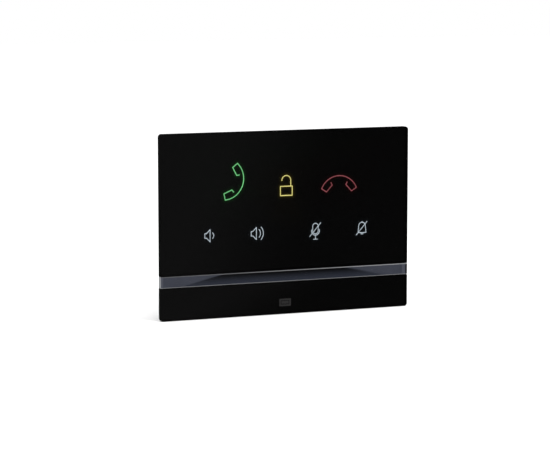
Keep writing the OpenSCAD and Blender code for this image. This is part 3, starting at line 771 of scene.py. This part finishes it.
def bar_mesh():
    """Acrylic bar with bevels along its front; its bevels and ends are ground, the rest polished"""
    front = settings().front
    low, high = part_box("light_bar")
    bevel = front.bar_bevel
    back_edge, end_edge = 0.15 * MM, 0.25 * MM
    ease_y, ease_z = 0.08 * MM, 0.06 * MM
    rings = []
    section = ((high.y, low.z + back_edge), (high.y - back_edge, low.z), (low.y + bevel, low.z),
               (low.y + ease_y, low.z + bevel - ease_z), (low.y, low.z + bevel + ease_z),
               (low.y, high.z - bevel - ease_z), (low.y + ease_y, high.z - bevel + ease_z),
               (low.y + bevel, high.z), (high.y - back_edge, high.z),
               (high.y, high.z - back_edge))
    middle_y, middle_z = (low.y + high.y) / 2, (low.z + high.z) / 2
    tray_low, tray_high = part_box("bar_reflector")
    for x, shrink in ((low.x, end_edge), (low.x + end_edge, 0.0), (tray_low.x, 0.0),
                      (tray_high.x, 0.0), (high.x - end_edge, 0.0), (high.x, end_edge)):
        ring = []
        for y, z in section:
            to_y = shrink if y < middle_y else -shrink
            to_z = shrink if z < middle_z else -shrink
            ring.append((x, y + to_y, z + to_z))
        rings.append(ring)
    bm = stacked(rings)
    for face in bm.faces:
        normal = face.normal
        slanted = normal.y < -0.3 and abs(normal.z) > 0.3
        middle_x = face.calc_center_median().x
        # The back of the overhanging ends takes the backing, which glows as painted light
        overhang = normal.y > 0.5 and not tray_low.x < middle_x < tray_high.x
        if slanted or abs(normal.x) > 0.3:
            face.material_index = 1
        elif overhang:
            face.material_index = 2
    return to_mesh(bm, "light_bar_piece", smooth=False)


# ---- Geometry Nodes ----

def node_tree(name, inputs):
    """Geometry tree with a mesh input, named inputs (name, kind, default) and a mesh output"""
    tree = bpy.data.node_groups.new(name, "GeometryNodeTree")
    tree.interface.new_socket("Geometry", in_out="INPUT", socket_type="NodeSocketGeometry")
    for title, kind, default in inputs:
        socket = tree.interface.new_socket(title, in_out="INPUT", socket_type=kind)
        if default is not None:
            socket.default_value = default
    tree.interface.new_socket("Geometry", in_out="OUTPUT", socket_type="NodeSocketGeometry")
    return tree, tree.nodes.new("NodeGroupInput").outputs, tree.nodes.new("NodeGroupOutput").inputs[0]


def run_tree(tree, carrier, **values):
    """Runs the tree on the carrier object with its inputs set and returns the plain mesh"""
    modifier = carrier.modifiers.new(tree.name, "NODES")
    modifier.node_group = tree
    for item in tree.interface.items_tree:
        if item.item_type == "SOCKET" and item.in_out == "INPUT":
            key = item.name.replace(" ", "_").lower()
            if key in values:
                modifier[item.identifier] = values[key]
    mesh = baked(carrier)
    if not len(mesh.polygons):
        raise RuntimeError(f"{tree.name} made no faces")
    return mesh


def points_object(name, points, **attributes):
    """Carrier whose vertices are the places to put something"""
    mesh = bpy.data.meshes.new(name)
    mesh.from_pydata([tuple(p) for p in points], [], [])
    for key, values in attributes.items():
        mesh.attributes.new(key, "FLOAT_VECTOR", "POINT").data.foreach_set(
            "vector", [c for value in values for c in value])
    carrier = bpy.data.objects.new(name, mesh)
    bpy.context.scene.collection.objects.link(carrier)
    return carrier


def screw_profile(head_r, head_h, shank_r, length, pitch, bumps=24):
    """Screw along -Y from its head's top at y 0: domed head, cross recess and a cut thread"""
    bm = bmesh.new()
    rings = []

    def ring(radius, y, wave=0.0):
        loop = []
        for i in range(bumps):
            angle = 2 * math.pi * i / bumps
            phase = (y / pitch - i / bumps) % 1.0
            bump = wave * (1 - abs(2 * phase - 1)) if wave else 0.0
            loop.append(bm.verts.new(((radius + bump) * math.cos(angle), y,
                                      (radius + bump) * math.sin(angle))))
        rings.append(loop)

    crown, dome, steps = 0.62, 0.45, 4
    ring(head_r * crown, 0.0)
    for step in range(1, steps + 1):
        angle = math.radians(90 * step / steps)
        ring(head_r * (crown + (1 - crown) * math.sin(angle)),
             -head_h * dome * (1 - math.cos(angle)))
    ring(head_r, -head_h * 0.85)
    ring(head_r * 0.94, -head_h)
    ring(shank_r, -head_h)
    rows = max(4, int(length / pitch * 6))
    tip = 0.85
    for row in range(1, rows + 1):
        share = row / rows
        taper = 1.0 if share < tip else 1.0 - 0.45 * (share - tip) / (1 - tip)
        ring(shank_r * 0.8 * taper, -head_h - length * share, shank_r * 0.2 * taper)
    for near, far in zip(rings, rings[1:]):
        for i in range(bumps):
            j = (i + 1) % bumps
            bm.faces.new((near[i], near[j], far[j], far[i]))
    bm.faces.new(rings[-1])
    arm, wing = head_r * 0.13, head_r * 0.5
    cross = []
    for quarter in range(4):
        turn = Matrix.Rotation(math.pi / 2 * quarter, 2)
        cross += [turn @ Vector(p) for p in ((arm, arm), (arm, wing), (-arm, wing))]
    depth = head_h * 0.6
    rim = [bm.verts.new((p.x, 0.0, p.y)) for p in cross]
    floor = [bm.verts.new((p.x * 0.55, -depth, p.y * 0.55)) for p in cross]
    flat = [Vector((v.co.x, v.co.z)) for v in rings[0] + rim]
    ring_edges = [(i, (i + 1) % bumps) for i in range(bumps)]
    rim_edges = [(bumps + i, bumps + (i + 1) % len(rim)) for i in range(len(rim))]
    result = delaunay_2d_cdt(flat, ring_edges + rim_edges, [], 0, 1e-9)
    source = rings[0] + rim
    known = [source[origins[0]] for origins in result[3]]
    for face in result[2]:
        x, z = sum((result[0][i] for i in face), Vector((0, 0))) / len(face)
        in_arm = (abs(x) < arm and abs(z) < wing) or (abs(z) < arm and abs(x) < wing)
        if not in_arm:
            bm.faces.new([known[i] for i in face])
    for i in range(len(rim)):
        j = (i + 1) % len(rim)
        bm.faces.new((rim[i], rim[j], floor[j], floor[i]))
    bm.faces.new(floor)
    bmesh.ops.recalc_face_normals(bm, faces=bm.faces)
    return bm


def screw_tree():
    """Puts a copy of one screw on every point, turned by the point's own turn attribute"""
    tree, given, output = node_tree("Screws On Points", [
        ("Screw", "NodeSocketObject", None), ("Finish", "NodeSocketMaterial", None)])
    model = put(tree, "GeometryNodeObjectInfo", {"transform_space": "ORIGINAL"},
                Object=given["Screw"])
    turn = put(tree, "GeometryNodeInputNamedAttribute", {"data_type": "FLOAT_VECTOR"}, Name="turn")
    placed = put(tree, "GeometryNodeInstanceOnPoints", Points=given["Geometry"],
                 Instance=model.outputs["Geometry"], Rotation=turn.outputs[0])
    real = put(tree, "GeometryNodeRealizeInstances", i0=placed.outputs[0])
    done = put(tree, "GeometryNodeSetMaterial", Geometry=real.outputs[0], Material=given["Finish"])
    tree.links.new(done.outputs[0], output)
    return tree


def islands(node):
    """Lowest and highest corner of each separate solid of a CAD node"""
    bm = clean_copy(node)
    left = set(bm.verts)
    found = []
    while left:
        stack, group = [left.pop()], []
        while stack:
            vert = stack.pop()
            group.append(vert.co.copy())
            for edge in vert.link_edges:
                other = edge.other_vert(vert)
                if other in left:
                    left.discard(other)
                    stack.append(other)
        low = Vector([min(c[i] for c in group) for i in range(3)])
        high = Vector([max(c[i] for c in group) for i in range(3)])
        found.append((low, high))
    bm.free()
    return sorted(found, key=lambda pair: (round(pair[0].x, 5), round(pair[0].z, 5)))


def screws_for(node, head_h, pitch):
    """Detailed screws in place of a CAD node's plain ones, with their heads at the back"""
    places = islands(node)
    low, high = places[0]
    head_r = (high.x - low.x) / 2
    total = high.y - low.y
    bm = screw_profile(head_r * 0.995, head_h, head_r * 0.5, total - head_h, pitch)
    model = bpy.data.objects.new("screw_model", to_mesh(bm, "screw_model", angle=40))
    bpy.context.scene.collection.objects.link(model)
    points, turns = [], []
    for index, (low, high) in enumerate(places):
        points.append(((low.x + high.x) / 2, high.y, (low.z + high.z) / 2))
        turns.append((0.0, 0.7 * index + 0.2, 0.0))
    carrier = points_object(node + "_points", points, turn=turns)
    mesh = run_tree(screw_tree(), carrier, screw=model, finish=MATERIALS["steel"])
    bpy.data.objects.remove(model)
    replace_node(node, mesh)


# ---- one operator for each group of pieces ----

class Dresser(bpy.types.Operator):
    """Base of the operators: runs make() and reports success"""
    bl_idname = "intercom.dresser"
    bl_label = "Dresser"

    def execute(self, context):
        self.make(context.scene.intercom)
        return {"FINISHED"}


class FinishNodes(Dresser):
    """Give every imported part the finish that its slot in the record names"""
    bl_idname = "intercom.finish_nodes"
    bl_label = "Finish Packed Parts"

    def make(self, given):
        shell = given.shell
        black, steel = tuple(shell.moulding), tuple(shell.steel)
        MATERIALS["steel"] = metal("plated_steel", steel, 0.3, (500.0, 500.0, 500.0))
        MATERIALS["screw_steel"] = MATERIALS["steel"]
        finishes = {
            "reflector_grey": (reflector, *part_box("bar_reflector")),
            "mask_black": (film,),
            "badge_grey": (self.badge,),
            "tape_white": (moulded, (0.6, 0.6, 0.57), 0.7, 0.4 * MM, 0.02 * MM),
            "board_green": (board, shell.mask),
            "connector_cream": (moulded, (0.62, 0.56, 0.42), 0.4, 0.2 * MM, 0.01 * MM),
            "cable_film": (self.cable,),
            "white_plastic": (moulded, (0.62, 0.62, 0.6), 0.45, 0.3 * MM, 0.02 * MM),
            "lamp_clear": (self.lamp,),
            # Painted shade: the frame takes a darker copy of the moulding colour, so that its side
            # stays as black as a face in shade
            "frame_black": (moulded, [0.35 * c for c in black], 0.45, shell.grain * 0.7,
                            0.015 * MM),
            "housing_black": (moulded, black, 0.48, shell.grain, 0.03 * MM),
            "label_silver": (label, *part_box("rating_label")),
            "shield_metal": (metal, (0.66, 0.66, 0.64), 0.28),
            "part_black": (moulded, (0.016, 0.016, 0.017), 0.38, 0.16 * MM, 0.01 * MM),
            "capacitor_can": (self.can,),
            "contact_gold": (metal, (0.83, 0.6, 0.25), 0.22),
            "terminal_green": (moulded, (0.02, 0.2, 0.07), 0.36, 0.2 * MM, 0.01 * MM),
            "button_orange": (moulded, (0.75, 0.2, 0.02), 0.36, 0.2 * MM, 0.01 * MM),
            "button_red": (moulded, (0.5, 0.02, 0.02), 0.36, 0.2 * MM, 0.01 * MM),
            "speaker_metal": (metal, (0.4, 0.41, 0.42), 0.35),
            "magnet_grey": (moulded, (0.05, 0.05, 0.052), 0.6, 0.3 * MM, 0.04 * MM),
            "rubber_black": (moulded, (0.012, 0.012, 0.012), 0.75, 0.3 * MM, 0.02 * MM),
            "cone_paper": (self.paper,),
            "coil_copper": (self.winding,),
            "lead_red": (moulded, (0.45, 0.02, 0.02), 0.4, 0.3 * MM, 0.01 * MM),
            "bracket_steel": (metal, steel, 0.36),
        }
        for entry in frame["record"]["subparts"]:
            slot = entry["material_slot"]
            if slot in finishes and slot not in MATERIALS:
                make, *values = finishes[slot]
                make(slot, *values)
            if slot in MATERIALS:
                paint(entry["node"], MATERIALS[slot])

    def badge(self, name):
        """Plain grey badge with a fine darker line round it, which glows faintly as painted light"""
        material, tree, shader, place = blank(name)
        low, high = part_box("badge_plate")
        near = rim_distance(tree, place, low, high)
        line = maths(tree, "MULTIPLY", fade(tree, near, 1.5 * MM, 1.6 * MM),
                     fade(tree, near, 2.1 * MM, 2.0 * MM))
        grit = noise(tree, place, 1800.0, 2.0)
        tone = blend_colours(tree, grit, (0.078, 0.076, 0.074), (0.094, 0.092, 0.09))
        tone = blend_colours(tree, line, tone, (0.02, 0.02, 0.02))
        # Painted light: the badge glows at most of its own tone, though it has no lamp
        feed(tree, shader, Base_Color=tone, Emission_Color=tone, Emission_Strength=0.85,
             Roughness=fade(tree, grit, 0.3, 0.7, 0.4, 0.55))
        return material

    def cable(self, name):
        """Flat cable: copper tracks under amber film"""
        material, tree, shader, place = blank(name)
        stripes = put(tree, "ShaderNodeTexWave", {"bands_direction": "X"}, Vector=place,
                      Scale=320.0, Distortion=0.0)
        tone = blend_colours(tree, fade(tree, stripes.outputs["Fac"], 0.35, 0.6),
                             (0.42, 0.16, 0.02), (0.62, 0.3, 0.09))
        cloud = noise(tree, place, 300.0, 3.0)
        feed(tree, shader, Base_Color=tone, Coat_Weight=0.4,
             Roughness=fade(tree, cloud, 0.3, 0.7, 0.25, 0.4))
        relief(tree, shader, stripes.outputs["Fac"], 0.01 * MM)
        return material

    def lamp(self, name):
        """Small lamp: pale phosphor in a clear case"""
        material, tree, shader, place = blank(name)
        dots = put(tree, "ShaderNodeTexVoronoi", Vector=place, Scale=900.0)
        tone = blend_colours(tree, fade(tree, dots.outputs["Distance"], 0.2, 0.5),
                             (0.85, 0.75, 0.35), (0.75, 0.75, 0.7))
        feed(tree, shader, Base_Color=tone, Coat_Weight=0.8,
             Roughness=fade(tree, dots.outputs["Distance"], 0.1, 0.6, 0.2, 0.35))
        return material

    def can(self, name):
        """Capacitor can: brushed aluminium with a dark polarity mark"""
        material, tree, shader, place = blank(name)
        sheet = effect(tree, "rolled", Vector=place, Stretch=(800.0, 60.0, 800.0))
        axes = split_axes(tree, place)
        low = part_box("capacitors")[0]
        mark = fade(tree, axes["Z"], low.z + 1.6 * MM, low.z + 1.5 * MM)
        tone = blend_colours(tree, sheet.outputs["Tone"], (0.6, 0.6, 0.6), (0.78, 0.78, 0.78))
        tone = blend_colours(tree, mark, tone, (0.02, 0.02, 0.025))
        feed(tree, shader, Base_Color=tone, Metallic=maths(tree, "SUBTRACT", 1.0, mark),
             Roughness=fade(tree, sheet.outputs["Height"], 0.3, 0.7, 0.24, 0.36))
        return material

    def paper(self, name):
        """Pressed paper cone with faint fibres"""
        material, tree, shader, place = blank(name)
        fibre = noise(tree, place, 1400.0, 6.0)
        blot = noise(tree, place, 180.0, 3.0)
        tone = blend_colours(tree, blot, (0.03, 0.03, 0.03), (0.06, 0.057, 0.052))
        feed(tree, shader, Base_Color=tone,
             Roughness=fade(tree, fibre, 0.3, 0.7, 0.75, 0.92))
        relief(tree, shader, fibre, 0.05 * MM)
        return material

    def winding(self, name):
        """Enamelled wire wound side by side"""
        material, tree, shader, place = blank(name)
        turns = put(tree, "ShaderNodeTexWave", {"bands_direction": "Y"}, Vector=place,
                    Scale=900.0, Distortion=0.0)
        tone = blend_colours(tree, turns.outputs["Fac"], (0.35, 0.09, 0.03), (0.75, 0.3, 0.12))
        feed(tree, shader, Base_Color=tone, Metallic=0.9,
             Roughness=fade(tree, turns.outputs["Fac"], 0, 1, 0.4, 0.25))
        relief(tree, shader, turns.outputs["Fac"], 0.04 * MM)
        return material


class DressGlass(Dresser):
    """Make the two glass plates with their polished edges"""
    bl_idname = "intercom.dress_glass"
    bl_label = "Glass Plates"

    def make(self, given):
        corner = 2 * MM
        foot = 0.35 * MM
        glass = clear("glass", given.front.glass_tint, 0.0, 1.5, 0.02)
        rim = edge_paint("glass_edge")
        for node, top, bottom in (("upper_glass", corner, foot), ("lower_glass", foot, corner)):
            replace_node(node, glass_plate(node, top, bottom), glass, rim)


class DressSymbols(Dresser):
    """Make the printed film with its halo, and light the diffusers behind it"""
    bl_idname = "intercom.dress_symbols"
    bl_label = "Lit Symbols"

    def make(self, given):
        front = given.front
        replace_node("upper_mask", film_mesh("upper_mask"), MATERIALS["mask_black"])
        passed = sum(front.glass_tint) / 3
        for node, tint in DIFFUSERS.items():
            key = "lit_" + tint
            light = front.fine_light if tint == "plain" else front.bold_light
            if key not in MATERIALS:
                lit(key, tuple(getattr(front, tint)), light / passed)
            paint(node, MATERIALS[key])


class DressLightBar(Dresser):
    """Make the smoked light bar with ground bevels and ends, which carry painted highlights and
    shade, over a backing that glows as painted light
    """
    bl_idname = "intercom.dress_light_bar"
    bl_label = "Light Bar"

    def make(self, given):
        polished = clear("bar_acrylic", given.front.bar_tint, 0.02, 1.49, 0.03)
        material, tree, shader, place = blank("bar_ground")
        axes = split_axes(tree, place)
        grit = noise(tree, place, 1500.0, 3.0)
        low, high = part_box("light_bar")
        # Painted highlights on the ground bevels: the upper bevel lightens towards the right end, and
        # the lower bevel is light all along
        along = fade(tree, axes["X"], low.x, high.x)
        upper_bevel_highlight = blend_colours(tree, along, (0.055, 0.057, 0.061), (0.21, 0.214, 0.224))
        rise = fade(tree, axes["Z"], low.z + 3 * MM, high.z - 3 * MM)
        tone = blend_colours(tree, rise, (0.19, 0.195, 0.205), upper_bevel_highlight)
        # Painted highlight on the left end face, and painted shade on the right end face
        end = fade(tree, axes["X"], low.x + 0.3 * MM, low.x + 0.2 * MM)
        tone = blend_colours(tree, end, tone, (0.16, 0.165, 0.175))
        far_end_shade = fade(tree, axes["X"], high.x - 0.3 * MM, high.x - 0.2 * MM)
        tone = blend_colours(tree, far_end_shade, tone, (0.07, 0.072, 0.078))
        rough_spot = maths(tree, "MULTIPLY", grit, 0.15)
        feed(tree, shader, Base_Color=blend_colours(tree, rough_spot, tone, (0.3, 0.3, 0.31)),
             Roughness=fade(tree, grit, 0.3, 0.7, 0.35, 0.5))
        relief(tree, shader, grit, 0.01 * MM)
        # Backing for the bar's ends beyond the reflector: it glows in the slate tone as painted
        # light, for nothing lights it there
        glowing_backing, tree, shader, place = blank("bar_backing")
        cloud = noise(tree, place, 900.0, 2.0)
        slate = [1.1 * c for c in given.front.bar_ends_glow]
        tone = blend_colours(tree, cloud, given.front.bar_ends_glow, slate)
        feed(tree, shader, Base_Color=blend_colours(tree, 0.9, tone, (0, 0, 0)), Roughness=0.6,
             Specular_IOR_Level=0.05, Emission_Color=tone, Emission_Strength=1.0)
        replace_node("light_bar", bar_mesh(), polished, material, glowing_backing)


class DressShells(Dresser):
    """Round the edges of the housing, the front frame and the wall bracket"""
    bl_idname = "intercom.dress_shells"
    bl_label = "Housing, Frame And Bracket"

    def make(self, given):
        shell = given.shell
        for node in ("rear_housing", "front_frame"):
            soft_piece(node, shell.round_edge, 15 * MM * MM)
        soft_piece("wall_bracket", shell.sheet_edge, 2 * MM * MM)


class DressScrews(Dresser):
    """Put domed cross-head screws with cut threads in place of the plain ones"""
    bl_idname = "intercom.dress_screws"
    bl_label = "Screws"

    def make(self, given):
        screws_for("frame_screws", head_h=1.6 * MM, pitch=0.9 * MM)
        low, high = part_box("lock_screw")
        head_r, head_h = (high.x - low.x) / 2, 2 * MM
        bm = screw_profile(head_r * 0.995, head_h, 1.5 * MM, high.z - low.z - head_h,
                           pitch=0.5 * MM, bumps=32)
        bm.transform(Matrix.Translation(((low.x + high.x) / 2, (low.y + high.y) / 2, low.z))
                     @ Matrix.Rotation(-math.pi / 2, 4, "X"))
        replace_node("lock_screw", to_mesh(bm, "lock_screw_piece", angle=40), MATERIALS["steel"])


class SetStage(Dresser):
    """Lay the pale floor and set the lights, the world and the camera"""
    bl_idname = "intercom.set_stage"
    bl_label = "Stage"

    def make(self, given):
        stage = given.stage
        scene = bpy.context.scene
        scene.view_settings.view_transform = "Standard"
        self.camera(scene, stage)
        if stage.show_floor:
            self.floor()
        self.world(scene, stage)
        self.light("key_light", place=(0.75, -1.1, 1.25), size=0.7, power=stage.key)
        self.light("top_light", place=(-0.3, -0.2, 1.4), size=0.9, power=stage.top)

    def camera(self, scene, stage):
        """Aims the camera at the front from its angle and distance"""
        data = bpy.data.cameras.new("camera")
        camera = bpy.data.objects.new("camera", data)
        scene.collection.objects.link(camera)
        back = Vector((math.sin(stage.turn) * math.cos(stage.rise),
                       -math.cos(stage.turn) * math.cos(stage.rise), math.sin(stage.rise)))
        camera.location = Vector((stage.aim_x, FRONT, stage.aim_z)) + back * stage.distance
        camera.rotation_euler = (-back).to_track_quat("-Z", "Y").to_euler()
        data.lens = stage.lens
        data.sensor_width = 36
        data.clip_start, data.clip_end = 0.05, 50
        scene.camera = camera

    def floor(self):
        """Lays a pale floor just under the object, which polished faces don't mirror"""
        bm = bmesh.new()
        bmesh.ops.create_grid(bm, x_segments=4, y_segments=4, size=4)
        bmesh.ops.translate(bm, verts=bm.verts, vec=(0, 0, FLOOR - 0.01 * MM))
        mesh = bpy.data.meshes.new("floor")
        bm.to_mesh(mesh)
        bm.free()
        floor = bpy.data.objects.new("floor", mesh)
        bpy.context.scene.collection.objects.link(floor)
        material, tree, shader, place = blank("pale_floor")
        cloud = noise(tree, place, 3.0, 4.0)
        tone = blend_colours(tree, cloud, (0.86, 0.86, 0.86), (0.9, 0.9, 0.9))
        feed(tree, shader, Base_Color=tone, Roughness=0.8, Specular_IOR_Level=0.0)
        mesh.materials.append(material)
        floor.visible_glossy = False
        floor.visible_transmission = False

    def world(self, scene, stage):
        """White backdrop. Polished faces mirror a dim room with a pale ceiling and back wall."""
        world = bpy.data.worlds.new("studio")
        scene.world = world
        world.use_nodes = True
        tree = world.node_tree
        tree.nodes.clear()
        path = tree.nodes.new("ShaderNodeLightPath")
        place = tree.nodes.new("ShaderNodeTexCoord")
        axes = split_axes(tree, place.outputs["Generated"])
        front = fade(tree, axes["X"], 0.30, 0.44, 0.10, 0.03)
        above = fade(tree, axes["Z"], 0.3, 0.9, 0.0, 0.25)
        behind = fade(tree, axes["Y"], 0.45, 0.8, 0.0, 0.85)
        mirrored = maths(tree, "ADD", maths(tree, "ADD", front, above), behind)
        diffuse = maths(tree, "MULTIPLY", path.outputs["Is Diffuse Ray"], stage.ambient)
        straight = maths(tree, "MAXIMUM", path.outputs["Is Camera Ray"], diffuse)
        glossy = maths(tree, "MULTIPLY", path.outputs["Is Glossy Ray"], mirrored)
        through = maths(tree, "MULTIPLY", path.outputs["Is Transmission Ray"], 0.06)
        total = maths(tree, "ADD", straight, maths(tree, "MAXIMUM", glossy, through))
        back = put(tree, "ShaderNodeBackground", Color=(1, 1, 1, 1), Strength=total)
        out = tree.nodes.new("ShaderNodeOutputWorld")
        tree.links.new(back.outputs[0], out.inputs["Surface"])

    def light(self, name, place, size, power):
        """Round soft light at a place, aimed at the object"""
        data = bpy.data.lights.new(name, "AREA")
        data.shape = "DISK"
        data.size = size
        data.energy = power
        light = bpy.data.objects.new(name, data)
        bpy.context.scene.collection.objects.link(light)
        light.location = place
        light.rotation_euler = (-Vector(place)).to_track_quat("-Z", "Y").to_euler()
        light.visible_transmission = False
        light.visible_glossy = False


STEPS = (FinishNodes, DressGlass, DressSymbols, DressLightBar, DressShells, DressScrews, SetStage)


class IntercomSettings(bpy.types.PropertyGroup):
    """All settings of the intercom"""
    front: PointerProperty(type=FrontSettings)
    shell: PointerProperty(type=ShellSettings)
    stage: PointerProperty(type=StageSettings)


class IntercomPanel(bpy.types.Panel):
    """Lists the steps that dress the intercom, with their settings"""
    bl_idname = "VIEW3D_PT_intercom"
    bl_label = "Glass Intercom Panel"
    bl_space_type = "VIEW_3D"
    bl_region_type = "UI"
    bl_category = "Intercom"

    def draw(self, context):
        for step in STEPS:
            self.layout.operator(step.bl_idname)
        for group in ("front", "shell", "stage"):
            box = self.layout.box()
            box.label(text=group.capitalize())
            owner = getattr(context.scene.intercom, group)
            for name in owner.__annotations__:
                box.prop(owner, name)


CLASSES = (FrontSettings, ShellSettings, StageSettings, IntercomSettings, *STEPS, IntercomPanel)


def register():
    """Registers the settings, operators and panel"""
    for item in CLASSES:
        bpy.utils.register_class(item)
    bpy.types.Scene.intercom = PointerProperty(type=IntercomSettings)


def unregister():
    """Takes them away again"""
    del bpy.types.Scene.intercom
    for item in reversed(CLASSES):
        bpy.utils.unregister_class(item)


def main():
    """Runs every step"""
    register()
    for step in STEPS:
        area, name = step.bl_idname.split(".")
        if getattr(getattr(bpy.ops, area), name)() != {"FINISHED"}:
            raise RuntimeError(f"{step.bl_label} did not finish")


if __name__ == "__main__":
    main()
